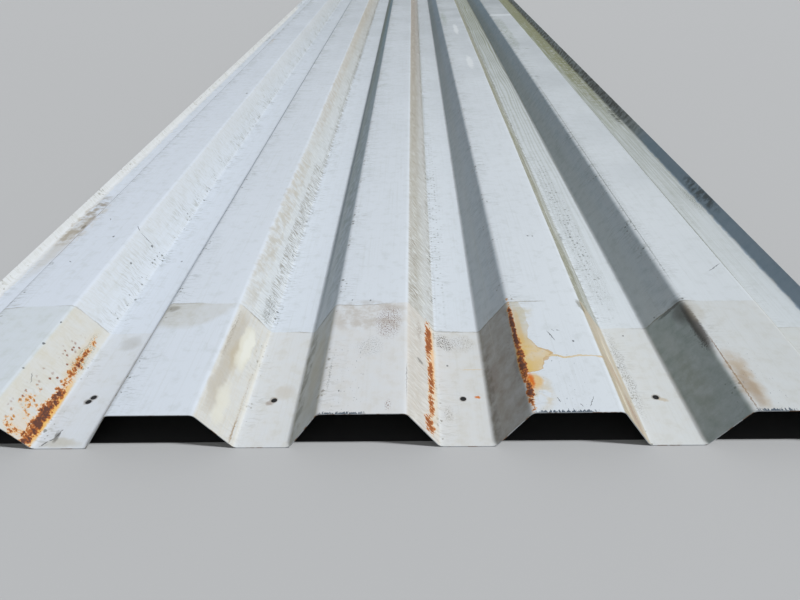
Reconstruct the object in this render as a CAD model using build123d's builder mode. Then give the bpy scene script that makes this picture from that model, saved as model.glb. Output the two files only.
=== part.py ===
from build123d import *
import os
from math import atan2, tan

# A roll-formed cladding sheet of coated steel with five trapezoidal ribs, lying flat on its valleys.
# X runs across the ribs, Y along them and Z up. The origin is on the floor under the middle of the
# centre rib, halfway along the sheet. All sizes are in millimetres.

# The flat stock
sheet_length = 3000.0
sheet_thickness = 0.75

# The ribs. Flats are measured on the underside, between the sharp corners of the bends.
rib_count = 5
rib_pitch = 183.0
rib_depth = 40.0
crest_flat = 76.0
valley_flat = 50.0
inside_bend_radius = 7.0

# The long edges. Beyond the last rib on each side lies one more valley, and its edge turns up in a lip
# as steep as the ribs' webs. The photographed sheet was slit a little off centre, so the sides differ.
left_valley_flat = 46.0
left_lip_height = 8.6
right_valley_flat = 52.0
right_lip_height = 14.5

# The screw holes: one in the middle of each valley near both ends, and a stray one drilled beside
# the front hole of the second valley from the left.
screw_hole_diameter = 6.0
screw_row_from_end = 60.0
stray_hole_valley = 1
stray_hole_offset_x = 2.6
stray_hole_offset_y = 6.1

# Sizes that follow from the ones above
valley_count = rib_count + 1
web_run = (rib_pitch - crest_flat - valley_flat) / 2
web_angle = atan2(rib_depth, web_run)
first_crest_x = -(rib_count - 1) / 2 * rib_pitch
first_valley_x = -(valley_count - 1) / 2 * rib_pitch
front_screw_row_y = screw_row_from_end - sheet_length / 2


def rib_corners(crest_x):
    """The four sharp corners of one rib's underside, from left to right."""
    top = crest_flat / 2
    foot = top + web_run
    return [
        (crest_x - foot, 0.0),
        (crest_x - top, rib_depth),
        (crest_x + top, rib_depth),
        (crest_x + foot, 0.0),
    ]


# The corners of the underside, from the left lip's edge to the right lip's edge
corners = []
for rib in range(rib_count):
    corners += rib_corners(first_crest_x + rib * rib_pitch)
left_bend_x = corners[0][0] - left_valley_flat
right_bend_x = corners[-1][0] + right_valley_flat
left_edge = (left_bend_x - left_lip_height / tan(web_angle), left_lip_height)
right_edge = (right_bend_x + right_lip_height / tan(web_angle), right_lip_height)
corners = [left_edge, (left_bend_x, 0.0), *corners, (right_bend_x, 0.0), right_edge]

# Every bend has the same inside radius. At a crest the underside is the inside of the bend, and in a
# valley it is the outside, one sheet thickness further from the bend's centre.
crest_bend = inside_bend_radius
valley_bend = inside_bend_radius + sheet_thickness
bends = [crest_bend if z > 0 else valley_bend for x, z in corners[1:-1]]

# The sheet: its section is the filleted underside line, thickened upwards
with BuildPart() as corrugated_sheet:
    with BuildSketch(Plane.XZ) as section:
        with BuildLine():
            underside = FilletPolyline(*corners, radius=bends)
            offset(amount=sheet_thickness, side=Side.LEFT)
        make_face()
    extrude(amount=sheet_length / 2, both=True)

    # The screw rows at both ends
    screw_row_distance = sheet_length - 2 * screw_row_from_end
    with GridLocations(rib_pitch, screw_row_distance, valley_count, 2):
        Hole(screw_hole_diameter / 2)

    # The stray hole
    stray_hole_x = first_valley_x + stray_hole_valley * rib_pitch + stray_hole_offset_x
    with Locations((stray_hole_x, front_screw_row_y + stray_hole_offset_y)):
        Hole(screw_hole_diameter / 2)

corrugated_sheet.part.label = "corrugated_sheet"

os.makedirs("parts", exist_ok=True)
export_step(corrugated_sheet.part, "parts/corrugated_sheet.step")

box = corrugated_sheet.part.bounding_box()
print(f"size {box.size.X:.1f} x {box.size.Y:.1f} x {box.size.Z:.2f} mm")
print(f"web run {web_run:.2f} mm, unrolled width {underside.length:.1f} mm")
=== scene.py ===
# %% [markdown]
# # A corrugated cladding sheet
# The object is one roll-formed sheet of coil-coated steel with five ribs, three metres long, lying on
# the floor. It is weathered: rain, dust and rust have marked the white coating.
#
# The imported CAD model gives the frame: where the sheet lies and how large it is. Everything below is
# in metres, and sizes that a workshop would give in millimetres are multiplied by `MM`.

from math import atan2, cos, degrees, hypot, radians, sin, tan

import bpy
from mathutils import Matrix, Vector


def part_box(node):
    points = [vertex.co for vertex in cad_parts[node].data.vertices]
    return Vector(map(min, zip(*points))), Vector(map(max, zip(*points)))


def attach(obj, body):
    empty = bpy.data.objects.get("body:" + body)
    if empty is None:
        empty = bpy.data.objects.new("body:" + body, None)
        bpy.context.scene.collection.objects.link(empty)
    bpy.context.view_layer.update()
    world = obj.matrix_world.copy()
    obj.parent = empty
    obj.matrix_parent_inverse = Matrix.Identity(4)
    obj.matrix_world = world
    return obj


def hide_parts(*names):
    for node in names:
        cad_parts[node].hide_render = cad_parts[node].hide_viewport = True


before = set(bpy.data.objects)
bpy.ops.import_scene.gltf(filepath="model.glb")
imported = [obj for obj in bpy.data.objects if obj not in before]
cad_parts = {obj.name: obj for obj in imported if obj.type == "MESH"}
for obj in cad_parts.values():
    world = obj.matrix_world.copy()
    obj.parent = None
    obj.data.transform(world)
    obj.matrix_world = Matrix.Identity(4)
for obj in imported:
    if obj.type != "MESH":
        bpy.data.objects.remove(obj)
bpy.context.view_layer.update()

MM = 0.001

# %% [markdown]
# ## Two helpers
# Colours are written as hex values, as a colour picker shows them. Blender mixes light in linear
# values, so one function turns the first into the second.
#
# Every tree below, for shapes and for materials, is made with one more function. It adds a node,
# sets its properties, fills or links its inputs, and gives back the node's output.


# %% Colour
def linear(hex_colour):
    """An sRGB colour such as "#c8d0d8" as the linear red, green, blue and alpha that Blender wants."""
    channels = [int(hex_colour[i : i + 2], 16) / 255 for i in (1, 3, 5)]
    return [c / 12.92 if c <= 0.04045 else ((c + 0.055) / 1.055) ** 2.4 for c in channels] + [1.0]


# %% Adding a node
def add(tree, kind, inputs=(), **settings):
    """Adds one node and returns its first live output. Inputs are a list in order, or named in a dict."""
    kind, usual = kind if isinstance(kind, tuple) else (kind, {})
    node = tree.nodes.new(kind)
    for name, value in {**usual, **settings}.items():
        setattr(node, name, value)
    for place, value in inputs.items() if isinstance(inputs, dict) else enumerate(inputs):
        live = [s for s in node.inputs if s.enabled]
        socket = live[place] if isinstance(place, int) else next(s for s in live if s.name == place)
        if isinstance(value, bpy.types.NodeSocket):
            tree.links.new(value, socket)
        else:
            socket.default_value = value
    return next((s for s in node.outputs if s.enabled), None)


# %% Kinds of node that come often, with their settings
# A mix takes its factor and two values. A range takes a value, the two limits that it lies between,
# and what these limits become, which is 0 and 1 when it isn't given. A noise takes its place, its
# scale, its detail and its roughness.
MATH = "ShaderNodeMath"
VECTOR_MATH = "ShaderNodeVectorMath"
SEPARATE = "ShaderNodeSeparateXYZ"
MIX = "ShaderNodeMix"
RANGE = "ShaderNodeMapRange"
NOISE = "ShaderNodeTexNoise"
PLUS = (MATH, {"operation": "ADD"})
MINUS = (MATH, {"operation": "SUBTRACT"})
TIMES = (MATH, {"operation": "MULTIPLY"})
TIMES_PLUS = (MATH, {"operation": "MULTIPLY_ADD"})
ABSOLUTE = (MATH, {"operation": "ABSOLUTE"})
BELOW = (MATH, {"operation": "LESS_THAN"})
ABOVE = (MATH, {"operation": "GREATER_THAN"})
STRETCH = (VECTOR_MATH, {"operation": "MULTIPLY"})
SCALE = (VECTOR_MATH, {"operation": "SCALE"})
SMOOTH_RANGE = (RANGE, {"interpolation_type": "SMOOTHSTEP"})
FLAT_NOISE = (NOISE, {"noise_dimensions": "2D"})
COLOUR_MIX = (MIX, {"data_type": "RGBA"})

# %% [markdown]
# ## The camera
# The photograph was taken standing at the front end, a little right of the middle, with a phone held
# low. The camera's place, turn and focal length were worked out from the ribs' edges and the
# known pitch, so the render lines up with the photograph.

# %% Camera
camera_place = (0.04847, -1.86979, 0.40242)
turned_left = radians(1.96)
looking_down = radians(33.655)
rolled = radians(1.82)
focal_length_mm = 27.086

level_forward = Vector((-sin(turned_left), cos(turned_left), 0.0))
level_right = Vector((cos(turned_left), sin(turned_left), 0.0))
forward = cos(looking_down) * level_forward - sin(looking_down) * Vector((0.0, 0.0, 1.0))
level_up = level_right.cross(forward)
right = cos(rolled) * level_right - sin(rolled) * level_up
up = sin(rolled) * level_right + cos(rolled) * level_up

camera_data = bpy.data.cameras.new("camera")
camera_data.lens = focal_length_mm
camera = bpy.data.objects.new("camera", camera_data)
camera.matrix_world = Matrix.Translation(camera_place) @ Matrix((right, up, -forward)).transposed().to_4x4()
bpy.context.scene.collection.objects.link(camera)
bpy.context.scene.camera = camera
print("camera looks along", [round(x, 3) for x in forward])

# %% [markdown]
# ## The sheet's shape
# A roll former bends a flat strip, bend after bend, into ribs that are all alike. The shape follows a
# rule, so Geometry Nodes make it: points at the corners of the section, in order from left to right,
# become a line, the line's corners get the rollers' bend radius, and a grid as long as the sheet
# takes its columns from that line. The grid gets its thickness, and the screw holes are cut last.
#
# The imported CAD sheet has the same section, but its bends are a few flat facets. This one has enough
# to look round, and it keeps a map of the flat strip, which the stains and scratches need.

# %% Sizes of the sheet
rib_count = 5
pitch = 183.0 * MM
rib_depth = 40.0 * MM
crest_flat = 76.0 * MM
valley_flat = 50.0 * MM
bend_radius = 7.0 * MM
left_valley = 46.0 * MM
left_lip = 8.6 * MM
right_valley = 52.0 * MM
right_lip = 14.5 * MM
thickness = 0.75 * MM
sheet_length = 3000.0 * MM
screw_row_from_end = 60.0 * MM
second_valley_x = -1.5 * pitch
front_row_y = screw_row_from_end - sheet_length / 2
stray_hole = (second_valley_x + 2.6 * MM, front_row_y + 6.1 * MM, 0.0)

# %% The tree's inputs
form = bpy.data.node_groups.new("roll_forming", "GeometryNodeTree")
sizes = {
    "Ribs": rib_count,
    "Pitch": pitch,
    "Rib depth": rib_depth,
    "Crest flat": crest_flat,
    "Valley flat": valley_flat,
    "Bend radius": bend_radius,
    "Steps in a bend": 6,
    "Cuts in a flat": 3,
    "Left valley": left_valley,
    "Left lip": left_lip,
    "Right valley": right_valley,
    "Right lip": right_lip,
    "Thickness": thickness,
    "Length": sheet_length,
    "Rows": 121,
    "Waviness": 0.4 * MM,
    "Hole diameter": 6.0 * MM,
    "Screw row": screw_row_from_end,
    "Stray hole": stray_hole,
    "Lapped length": 175.0 * MM,
    "Coating": None,
    "Lapped coating": None,
    "Backing": None,
    "Cut edge": None,
}
socket_kinds = {int: "Int", float: "Float", tuple: "Vector", type(None): "Material"}
identifiers = {}
for name, value in sizes.items():
    kind = "NodeSocket" + socket_kinds[type(value)]
    identifiers[name] = form.interface.new_socket(name, in_out="INPUT", socket_type=kind).identifier
form.interface.new_socket("Sheet", in_out="OUTPUT", socket_type="NodeSocketGeometry")
given = form.nodes.new("NodeGroupInput").outputs
print("inputs of the roll former", list(identifiers))

# %% [markdown]
# ### The corners of the section
# Each rib has four corners: foot, shoulder, shoulder, foot. The whole section is that pattern
# repeated, cut off at both ends where the strip's edge turns up in a low lip. So one formula places
# all corners: a corner's number gives its rib and its turn in the rib, and its height says how far
# down the web it lies.

# %% Corners
# Corners are counted from 0, so a limit such as 1.5 lies between two of them.
rib_corners = 4.0
edge_corners = 2.0
middle_turn = 0.375
index = add(form, "GeometryNodeInputIndex")
corner_count = add(form, TIMES_PLUS, [given["Ribs"], rib_corners, 2 * edge_corners])
last_corner = add(form, MINUS, [corner_count, 1.0])
in_ribs = add(form, MINUS, [index, edge_corners])
quarter = add(form, MATH, [in_ribs, rib_corners], operation="DIVIDE")
rib_number = add(form, MATH, [quarter], operation="FLOOR")
turn = add(form, MATH, [quarter], operation="FRACT")
from_middle = add(form, MINUS, [turn, middle_turn])
side = add(form, MATH, [from_middle], operation="SIGN")
is_shoulder = add(form, BELOW, [add(form, ABSOLUTE, [from_middle]), 0.2])
is_first = add(form, BELOW, [index, 0.5])
is_last = add(form, MATH, [index, last_corner, 0.1], operation="COMPARE")
in_left_edge = add(form, BELOW, [index, 1.5])
in_right_edge = add(form, ABOVE, [index, add(form, MINUS, [last_corner, 1.5])])
print("corners by one formula")

# %% Height and place of a corner
height = add(form, TIMES, [is_shoulder, given["Rib depth"]])
height = add(form, MIX, [is_first, height, given["Left lip"]])
height = add(form, MIX, [is_last, height, given["Right lip"]])
flats = add(form, PLUS, [given["Crest flat"], given["Valley flat"]])
web_run = add(form, TIMES, [add(form, MINUS, [given["Pitch"], flats]), 0.5])
half_crest = add(form, TIMES, [given["Crest flat"], 0.5])
rise = add(form, MATH, [height, given["Rib depth"]], operation="DIVIDE")
reach = add(form, TIMES_PLUS, [web_run, add(form, MINUS, [1.0, rise]), half_crest])
half_span = add(form, TIMES_PLUS, [given["Ribs"], -0.5, 0.5])
crest_middle = add(form, TIMES, [add(form, PLUS, [rib_number, half_span]), given["Pitch"]])
across = add(form, TIMES_PLUS, [side, reach, crest_middle])
left_change = add(form, MINUS, [given["Valley flat"], given["Left valley"]])
right_change = add(form, MINUS, [given["Right valley"], given["Valley flat"]])
across = add(form, TIMES_PLUS, [in_left_edge, left_change, across])
across = add(form, TIMES_PLUS, [in_right_edge, right_change, across])
corner = add(form, "ShaderNodeCombineXYZ", {"X": across, "Z": height})
corners = add(form, "GeometryNodePoints", {"Count": corner_count, "Position": corner})

# %% [markdown]
# ### From corners to a rounded section
# The corners lie on the sheet's underside. There a crest's bend has the rollers' radius, and a
# valley's bend is one sheet thickness larger, because the sheet lies inside it. The long flats get a
# few points of their own, so that they can be very slightly wavy, as thin formed sheet is.

# %% Section line
shortest_flat = 12.0 * MM
position = add(form, "GeometryNodeInputPosition")
section = add(form, "GeometryNodePointsToCurves", {"Points": corners})
point_height = add(form, SEPARATE, [position]).node.outputs["Z"]
in_valley = add(form, BELOW, [point_height, 0.1 * MM])
radius = add(form, TIMES_PLUS, [in_valley, given["Thickness"], given["Bend radius"]])
bends = {"Curve": section, "Radius": radius, "Count": given["Steps in a bend"]}
section = add(form, "GeometryNodeFilletCurve", bends, mode="POLY")
next_point = {"Index": add(form, PLUS, [index, 1.0]), "Value": position}
next_place = add(form, "GeometryNodeFieldAtIndex", next_point, data_type="FLOAT_VECTOR")
step_length = add(form, VECTOR_MATH, [position, next_place], operation="DISTANCE")
is_flat = add(form, ABOVE, [step_length, shortest_flat])
cuts = add(form, TIMES, [is_flat, given["Cuts in a flat"]])
section = add(form, "GeometryNodeSubdivideCurve", {"Curve": section, "Cuts": cuts})

# %% [markdown]
# ### From the section to the formed strip
# A grid has one column for each point of the section and one row for each step along the sheet. Each
# vertex takes its place from its column's point. It also takes how far along the section it lies,
# which is where it was across the flat strip. That, and the distance from the front end, become the
# UV map `strip`, in metres.

# %% Grid that follows the section
columns = add(form, "GeometryNodeAttributeDomainSize", {"Geometry": section}, component="CURVE")
grid_sizes = {"Size X": 1.0, "Size Y": given["Length"], "Vertices X": columns, "Vertices Y": given["Rows"]}
grid = add(form, "GeometryNodeMeshGrid", grid_sizes)
column = add(form, MATH, [add(form, MATH, [index, given["Rows"]], operation="DIVIDE")], operation="FLOOR")
length_along = add(form, "GeometryNodeSplineParameter").node.outputs["Length"]
sampled = []
for value, data_type in ((position, "FLOAT_VECTOR"), (length_along, "FLOAT")):
    of_column = {"Geometry": section, "Value": value, "Index": column}
    sampled.append(add(form, "GeometryNodeSampleIndex", of_column, data_type=data_type, clamp=True))
section_axes = add(form, SEPARATE, [sampled[0]]).node.outputs
grid_y = add(form, SEPARATE, [position]).node.outputs["Y"]
from_front = add(form, TIMES_PLUS, [given["Length"], 0.5, grid_y])
strip_place = add(form, "ShaderNodeCombineXYZ", {"X": sampled[1], "Y": from_front})
on_points = {"data_type": "FLOAT_VECTOR", "domain": "POINT"}
strip_place = add(form, "GeometryNodeFieldOnDomain", {"Value": strip_place}, **on_points)
strip_map = {"Geometry": grid, "Name": "strip", "Value": strip_place}
grid = add(form, "GeometryNodeStoreNamedAttribute", strip_map, data_type="FLOAT2", domain="CORNER")
formed_place = add(form, "ShaderNodeCombineXYZ", [section_axes["X"], grid_y, section_axes["Z"]])
formed = add(form, "GeometryNodeSetPosition", {"Geometry": grid, "Position": formed_place})

# %% [markdown]
# ### Waviness, thickness and holes
# Thin sheet is never quite flat: a slow noise pushes it up by less than half a millimetre. Then the
# faces are thickened upwards, and the original faces are turned over to be the underside. The holes
# are cut with drills: one at each valley's middle in both screw rows, and the stray one.

# %% Waviness and thickness
waves_in_a_metre = 6.0
weld_distance = 0.01 * MM
slow_noise = add(form, NOISE, [position, waves_in_a_metre, 1.0])
push = add(form, TIMES, [slow_noise, given["Waviness"]])
push = add(form, SCALE, [add(form, "GeometryNodeInputNormal"), push])
formed = add(form, "GeometryNodeSetPosition", {"Geometry": formed, "Offset": push})
upwards = {"Mesh": formed, "Offset Scale": given["Thickness"], "Individual": False}
thickened = add(form, "GeometryNodeExtrudeMesh", upwards, mode="FACES")
coated = {"Geometry": thickened, "Name": "coated", "Value": thickened.node.outputs["Top"]}
top = add(form, "GeometryNodeStoreNamedAttribute", coated, data_type="BOOLEAN", domain="FACE")
top = add(form, "GeometryNodeSetMaterial", {"Geometry": top, "Material": given["Cut edge"]})
underside = add(form, "GeometryNodeFlipFaces", {"Mesh": formed})
underside = add(form, "GeometryNodeSetMaterial", {"Geometry": underside, "Material": given["Backing"]})
closed = form.nodes.new("GeometryNodeJoinGeometry")
for part in (top, underside):
    form.links.new(part, closed.inputs[0])
welded = {"Geometry": closed.outputs[0], "Distance": weld_distance}
closed = add(form, "GeometryNodeMergeByDistance", welded)

# %% Drills
drill_sides = 32
drill_depth = 10.0 * MM
row_sizes = {
    "Size X": add(form, TIMES, [given["Ribs"], given["Pitch"]]),
    "Size Y": add(form, TIMES_PLUS, [given["Screw row"], -2.0, given["Length"]]),
    "Vertices X": add(form, PLUS, [given["Ribs"], 1.0]),
    "Vertices Y": 2,
}
screw_rows = add(form, "GeometryNodeMeshToPoints", {"Mesh": add(form, "GeometryNodeMeshGrid", row_sizes)})
drill_places = form.nodes.new("GeometryNodeJoinGeometry")
for places in (screw_rows, add(form, "GeometryNodePoints", {"Position": given["Stray hole"]})):
    form.links.new(places, drill_places.inputs[0])
hole_radius = add(form, TIMES, [given["Hole diameter"], 0.5])
drill_sizes = {"Vertices": drill_sides, "Radius": hole_radius, "Depth": drill_depth}
drill = add(form, "GeometryNodeMeshCylinder", drill_sizes)
drill = add(form, "GeometryNodeSetMaterial", {"Geometry": drill, "Material": given["Cut edge"]})
drills = add(form, "GeometryNodeInstanceOnPoints", {"Points": drill_places.outputs[0], "Instance": drill})
drills = add(form, "GeometryNodeRealizeInstances", {"Geometry": drills})
drilled = form.nodes.new("GeometryNodeMeshBoolean")
drilled.operation = "DIFFERENCE"
drilled.solver = "MANIFOLD"
form.links.new(closed, drilled.inputs["Mesh 1"])
form.links.new(drills, drilled.inputs["Mesh 2"])

# %% Sharp edges and the end of the tree
sharp_angle = radians(30)
is_sharp = add(form, ABOVE, [add(form, "GeometryNodeInputMeshEdgeAngle"), sharp_angle])
smooth = {"Geometry": drilled.outputs[0], "Shade Smooth": True}
smooth = add(form, "GeometryNodeSetShadeSmooth", smooth, domain="FACE")
sharp = {"Geometry": smooth, "Selection": is_sharp, "Shade Smooth": False}
sharp = add(form, "GeometryNodeSetShadeSmooth", sharp, domain="EDGE")
whole = add(form, "GeometryNodeRealizeInstances", {"Geometry": sharp})
is_coated = add(form, "GeometryNodeInputNamedAttribute", {"Name": "coated"}, data_type="BOOLEAN")
front_y = add(form, TIMES_PLUS, [given["Length"], -0.5, given["Lapped length"]])
face_y = add(form, SEPARATE, [position]).node.outputs["Y"]
is_lapped = add(form, TIMES, [add(form, BELOW, [face_y, front_y]), is_coated])
for finish, chosen in (("Coating", is_coated), ("Lapped coating", is_lapped)):
    finished = {"Geometry": whole, "Selection": chosen, "Material": given[finish]}
    whole = add(form, "GeometryNodeSetMaterial", finished)
form.links.new(whole, form.nodes.new("NodeGroupOutput").inputs["Sheet"])
print("roll former has", len(form.nodes), "nodes")

# %% [markdown]
# ## Where a mark lies
# Every stain, scratch and rust spot is placed on the flat strip: how far across it, and how far from
# the front end. Marks are easier to read off a photograph from the middle of the face that they are
# on, so the faces get names, and a helper turns "crest 4, 30 mm left of its middle, 80 mm from the
# front" into a place on the strip. It walks across the section as the roll former does: the flats
# lose what the bends' arcs take, and the arcs are a little shorter than the sharp corners.


# %% Faces of the section, from left to right
def face_middles():
    """Millimetres across the flat strip to the middle of each face."""
    run = (pitch - crest_flat - valley_flat) / 2
    web = hypot(run, rib_depth)
    bend = atan2(rib_depth, run)
    names, widths = ["left lip", "valley 0"], [web * left_lip / rib_depth, left_valley]
    for rib in range(1, rib_count + 1):
        names += [f"left web {rib}", f"crest {rib}", f"right web {rib}", f"valley {rib}"]
        widths += [web, crest_flat, web, valley_flat]
    names.append("right lip")
    widths[-1] = right_valley
    widths.append(web * right_lip / rib_depth)
    middles, walked, cut_before = {}, 0.0, 0.0
    for name, width, next_name in zip(names, widths, names[1:] + [""]):
        at_crest = name.startswith("crest") or next_name.startswith("crest")
        radius = bend_radius + (0.0 if at_crest else thickness)
        cut_after = radius * tan(bend / 2) if next_name else 0.0
        straight = width - cut_before - cut_after
        middles[name] = (walked + straight / 2) / MM
        walked += straight + (radius * bend if next_name else 0.0)
        cut_before = cut_after
    return middles, walked / MM


middle_of, strip_width = face_middles()
print("flat strip", round(strip_width, 1), "mm wide; crest 4 is at", round(middle_of["crest 4"], 1), "mm")


# %% A place on the strip
def at(face, offset, from_front):
    """A place on the flat strip in millimetres, given from the middle of a face and the front end."""
    return (middle_of[face] + offset, from_front, 0.0)


# %% [markdown]
# ## One mark as a node group
# All marks start from the same field: 1 at the mark's middle, 0 on its outline and below 0 outside.
# A mark has a middle and two arrows, one across and one along it. Each arrow is as long as one over
# half the mark's size that way, so a point's product with it is 1 on the outline. The squareness is 2
# for an oval, and higher for a mark that fills a face up to its bends.

# %% Mark field
mark_sockets = dict.fromkeys(["Place", "Middle", "Across", "Along"], "Vector") | {"Squareness": "Float"}
stain_sockets = {"Colour": "Color", **mark_sockets, "Edge": "Float", "Tint": "Color"}
stain_sockets |= {"Strength": "Float", "Grain": "Float"}


def new_group(name, sockets, result, result_kind):
    """A shader node group with its sockets, and the outputs of its input node."""
    group = bpy.data.node_groups.new(name, "ShaderNodeTree")
    for socket, kind in sockets.items():
        group.interface.new_socket(socket, in_out="INPUT", socket_type="NodeSocket" + kind)
    group.interface.new_socket(result, in_out="OUTPUT", socket_type="NodeSocket" + result_kind)
    return group, group.nodes.new("NodeGroupInput").outputs


mark_field, given = new_group("mark_field", mark_sockets, "Field", "Float")
from_middle = add(mark_field, VECTOR_MATH, [given["Place"], given["Middle"]], operation="SUBTRACT")
powers = []
for arrow in ("Across", "Along"):
    share = add(mark_field, VECTOR_MATH, [from_middle, given[arrow]], operation="DOT_PRODUCT")
    share = add(mark_field, ABSOLUTE, [share])
    powers.append(add(mark_field, MATH, [share, given["Squareness"]], operation="POWER"))
field = add(mark_field, MINUS, [1.0, add(mark_field, PLUS, powers)])
mark_field.links.new(field, mark_field.nodes.new("NodeGroupOutput").inputs["Field"])


# %% Size and place of a mark
def mark(place, face, offset, from_front, half_width, half_length, angle=0.0, squareness=2.0):
    """The inputs of a mark field, from millimetres and degrees."""
    turn = radians(angle)
    return {
        "Place": place,
        "Middle": at(face, offset, from_front),
        "Across": (cos(turn) / half_width, sin(turn) / half_width, 0.0),
        "Along": (-sin(turn) / half_length, cos(turn) / half_length, 0.0),
        "Squareness": squareness,
    }


def join_marks(tree, marks, start, blend=0.0):
    """Joins (inputs, weight) pairs in one field: the largest, rounded where two of them meet."""
    field = start
    for inputs, weight in marks:
        one = add(tree, "ShaderNodeGroup", inputs, node_tree=mark_field)
        field = add(tree, MATH, [add(tree, TIMES, [one, weight]), field, blend], operation="SMOOTH_MAX")
    return field


# %% [markdown]
# A stain lays its tint over the colour below it, as far as its field, its strength and a grain allow.
# The grain is a noise from 0 to 1 that breaks the stain up into mottles or specks.

# %% Stain
stain, given = new_group("stain", stain_sockets, "Colour", "Color")
field = add(stain, "ShaderNodeGroup", {name: given[name] for name in mark_sockets}, node_tree=mark_field)
cover = add(stain, SMOOTH_RANGE, [field, 0.0, given["Edge"], 0.0, given["Strength"]])
cover = add(stain, TIMES, [cover, given["Grain"]])
tinted = add(stain, COLOUR_MIX, [cover, given["Colour"], given["Tint"]])
stain.links.new(tinted, stain.nodes.new("NodeGroupOutput").inputs["Colour"])

# %% [markdown]
# ## The white coating
# The top is coil-coated steel: galvanised strip, painted with an off-white polyester on a coating line
# before it was formed. New, it is smooth with a satin gloss. Out in the rain it chalks, which dulls
# it, and it holds dirt where water runs slowly: on the webs, along the bends and under a lap.
#
# The weather reached the whole sheet, so what it did is one node group, which gives a colour and the
# noises behind it; the colour also holds painted shade on the left webs. Two materials use it: one for
# the open sheet, and one for the front end, which lay under the next sheet for years.

# %% Place on the strip
wear = bpy.data.node_groups.new("weathered_paint_and_shade", "ShaderNodeTree")
place = add(wear, SCALE, [add(wear, "ShaderNodeUVMap", uv_map="strip"), 1.0 / MM])
from_front = add(wear, SEPARATE, [place]).node.outputs["Y"]
object_place = add(wear, "ShaderNodeTexCoord").node.outputs["Object"]
object_x, object_y, high = add(wear, SEPARATE, [object_place]).node.outputs

# %% Ragged outlines
# Water and dirt have no smooth outlines. Two noises push the place about: one by a few millimetres
# for stains, one by about one millimetre for small marks.
outlines = []
for noise_size, detail, reach in ((18.0, 3.0, 5.0), (2.5, 2.0, 1.2)):
    noise_colour = add(wear, FLAT_NOISE, [place, 1 / noise_size, detail]).node.outputs["Color"]
    push = add(wear, VECTOR_MATH, [noise_colour, (0.5, 0.5, 0.5)], operation="SUBTRACT")
    both_ways = (2 * reach, 2 * reach, 0.0)
    outlines.append(add(wear, VECTOR_MATH, [push, both_ways, place], operation="MULTIPLY_ADD"))
ragged, frayed = outlines

# %% Which face a point is on
# The normal leans right on a right web and left on a left web. The height tells crests from valleys.
lean = add(wear, SEPARATE, [add(wear, "ShaderNodeNewGeometry").node.outputs["Normal"]])
on_right_web = add(wear, SMOOTH_RANGE, [lean, 0.35, 0.75])
on_left_web = add(wear, SMOOTH_RANGE, [lean, -0.35, -0.75])
on_crest = add(wear, SMOOTH_RANGE, [high, 36.0 * MM, 40.0 * MM])
in_valley = add(wear, SMOOTH_RANGE, [high, 5.0 * MM, 1.5 * MM])
upper_web = add(wear, SMOOTH_RANGE, [high, 12.0 * MM, 28.0 * MM])
toward_right = add(wear, RANGE, [object_x, -0.40, 0.42])
toward_far = add(wear, RANGE, [from_front, 150.0, 2300.0])

# %% [markdown]
# ### Noises
# All patterns come from a few noises on the flat strip: slow patches, mottles and specks, streaks
# along the sheet from rain and brushes, and wisps across it, where water ran down a web. Grains of
# dirt come from a cell pattern, which gives each grain a chance of its own.

# %% Noises
slow = add(wear, FLAT_NOISE, [place, 1 / 160.0, 2.0])
clusters = add(wear, FLAT_NOISE, [place, 1 / 45.0, 3.0])
mottle = add(wear, FLAT_NOISE, [place, 1 / 14.0, 4.0, 0.6])
speck = add(wear, FLAT_NOISE, [place, 1 / 1.3, 2.0])
stretched = []
for outline, stretch, detail, rough in (
    (frayed, (0.40, 0.006, 0.0), 3.0, 0.65),
    (ragged, (0.07, 0.42, 0.0), 3.0, 0.6),
    (ragged, (0.022, 0.075, 0.0), 4.0, 0.65),
):
    stretched.append(add(wear, FLAT_NOISE, [add(wear, STRETCH, [outline, stretch]), 1.0, detail, rough]))
streaks, wisps, bars = stretched
cells = add(wear, "ShaderNodeTexVoronoi", {"Vector": frayed, "Scale": 1 / 5.0}, voronoi_dimensions="2D")
chance = add(wear, SEPARATE, [cells.node.outputs["Color"]])

# %% [markdown]
# ### Dust, wear and painted shade
# The paint grows dull from left to right and from the front to the far end, as the photograph shows.
# Dirt lies on the right webs, from beige to olive, and shows as wisps on the first three and as lines
# along the sheet further right. The left webs face away from the lamp and get painted shade: sky-blue grey
# above, and greenish below, which is partly dirt.

# %% Paint and dust
streak_cover = add(wear, SMOOTH_RANGE, [streaks, 0.5, 0.75, 0.0, 0.25])
dust = add(wear, TIMES, [add(wear, TIMES_PLUS, [toward_right, 0.48, 0.31]), toward_far])
dust = add(wear, TIMES_PLUS, [in_valley, -0.06, dust])
edge_dust = add(wear, RANGE, [toward_right, 0.84, 1.0, 0.0, 0.22])
dust = add(wear, TIMES_PLUS, [edge_dust, add(wear, MINUS, [1.0, toward_far]), dust])
dust = add(wear, TIMES, [dust, add(wear, RANGE, [slow, 0.3, 0.7, 0.8, 1.2])], use_clamp=True)
blotches = add(wear, SMOOTH_RANGE, [mottle, 0.50, 0.75, 0.0, 0.22])

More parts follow.
